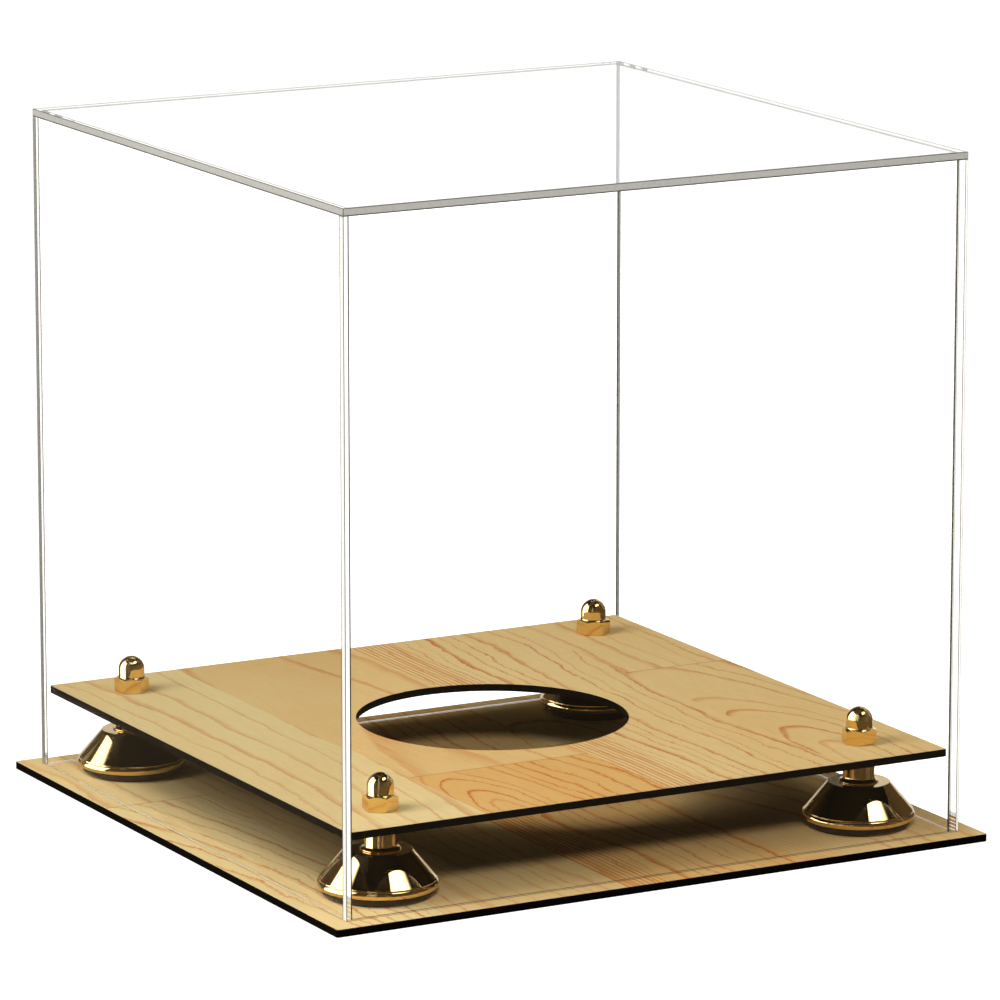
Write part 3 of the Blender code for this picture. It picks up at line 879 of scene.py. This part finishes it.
def ray_kinds(graph):
    """Shares that tell what a ray is. Seen: it looks at things, perhaps through the sheets.
    Direct: it comes straight from the camera. Mirrored: a mirror has sent it on. Soft: it comes
    from a dull surface. Deep: it has been through the sheets twice, in to a mirror and out."""
    path = graph.add("ShaderNodeLightPath").outputs
    direct, glossy = path["Is Camera Ray"], path["Is Glossy Ray"]
    looks = graph.math("MAXIMUM", direct, path["Is Transmission Ray"])
    mirrored = graph.math("MULTIPLY", graph.math("GREATER_THAN", path["Glossy Depth"], 0.5), glossy)
    return {
        "seen": graph.math("MULTIPLY", looks, graph.math("SUBTRACT", 1.0, mirrored)),
        "direct": direct,
        "mirrored": mirrored,
        "soft": graph.math("SUBTRACT", 1.0, graph.math("MAXIMUM", looks, glossy)),
        "deep": graph.math("GREATER_THAN", path["Transmission Depth"], 3.5),
    }


def white_look(graph, rays):
    """The white that a look meets: brighter through the sheets, to make up for what they take."""
    dimmed = graph.math("MULTIPLY", rays["direct"], DIRECT_WHITE - THROUGH_WHITE)
    white = graph.math("ADD", THROUGH_WHITE, dimmed)
    return graph.math("MULTIPLY", rays["seen"], white)


def facing(graph, vector, azimuth):
    """The cosine of the level angle between a direction and an azimuth."""
    flat = graph.add("ShaderNodeVectorMath", {0: vector, 1: (1, 1, 0)}, operation="MULTIPLY")
    unit = graph.add("ShaderNodeVectorMath", {0: flat.outputs[0]}, operation="NORMALIZE")
    dot = {0: unit.outputs[0], 1: direction(azimuth, 0.0)}
    return graph.add("ShaderNodeVectorMath", dot, operation="DOT_PRODUCT").outputs["Value"]


def add_floor():
    """A wide white table top that melts into the background. Mirrored rays pass through it."""
    made, graph, shader, place, output = new_material("white_table")
    rays = ray_kinds(graph)
    far = graph.add("ShaderNodeVectorMath", {0: place}, operation="LENGTH").outputs["Value"]
    shade = graph.between(far, FADE_FROM, FADE_TO, TABLE_GREY, 0.0)
    fill = graph.math("MULTIPLY", rays["soft"], TABLE_FILL)
    glow = graph.math("ADD", white_look(graph, rays), fill)
    connect(graph, shader, Base_Color=graph.grey(shade), Roughness=0.8, Specular_IOR_Level=0.0,
            Emission_Color=WHITE, Emission_Strength=glow)
    gone = graph.add("ShaderNodeBsdfTransparent")
    both = graph.add("ShaderNodeMixShader", {
        0: rays["mirrored"], 1: shader.outputs[0], 2: gone.outputs[0]})
    graph.tree.links.new(both.outputs[0], output.inputs["Surface"])
    floor = slab("studio_floor", Vector((-TABLE_REACH, -TABLE_REACH, -TABLE_THICKNESS)),
                 Vector((TABLE_REACH, TABLE_REACH, 0.0)))
    floor.data.materials.append(made)


def add_world():
    """White all round for looks, and a weak fill for soft rays. What mirrors see is a dark room
    with a tall white panel at the left, a softbox at the right and a pale wall behind the case."""
    world = bpy.data.worlds.new("studio")
    world.use_nodes = True
    world.node_tree.nodes.clear()
    graph = Graph(world.node_tree)
    rays = ray_kinds(graph)
    look = graph.add("ShaderNodeTexCoord").outputs["Generated"]
    height = graph.add("ShaderNodeSeparateXYZ", {"Vector": look}).outputs["Z"]
    room = graph.between(height, 0.45, 0.8, ROOM_LOW, ROOM_HIGH)
    for azimuth, edge, low, high, glow, inside_only in PANELS:
        across = graph.between(facing(graph, look, math.radians(azimuth)),
                               edge - BLUR_ACROSS, edge + BLUR_ACROSS)
        up = graph.math("MULTIPLY", graph.between(height, low - BLUR_UP, low + BLUR_UP),
                        graph.between(height, high + BLUR_UP, high - BLUR_UP))
        panel = graph.math("MULTIPLY", across, up)
        if inside_only:
            above_level = graph.between(height, -0.02, 0.02)
            panel = graph.math("MULTIPLY", panel,
                               graph.math("MAXIMUM", rays["deep"], above_level))
        room = graph.math("ADD", room, graph.math("MULTIPLY", panel, glow))
    bright = graph.between(room, 2 * ROOM_LOW, 8 * ROOM_LOW)
    tint = graph.mix(bright, ROOM_TINT, WHITE)
    tint = graph.mix(rays["soft"], tint, FILL_TINT)
    tint = graph.mix(rays["seen"], tint, WHITE)
    mirrored = graph.math("MULTIPLY", rays["mirrored"], room)
    fill = graph.math("MULTIPLY", rays["soft"], SOFT_FILL)
    strength = graph.math("ADD", white_look(graph, rays), graph.math("ADD", mirrored, fill))
    shade = graph.add("ShaderNodeBackground", {"Color": tint, "Strength": strength})
    graph.add("ShaderNodeOutputWorld", {"Surface": shade.outputs[0]})
    bpy.context.scene.world = world


def build_studio():
    add_world()
    add_floor()
    for softbox in SOFTBOXES:
        add_softbox(*softbox)
    bpy.context.scene.view_settings.view_transform = "Standard"


build_object()
build_studio()
add_camera()
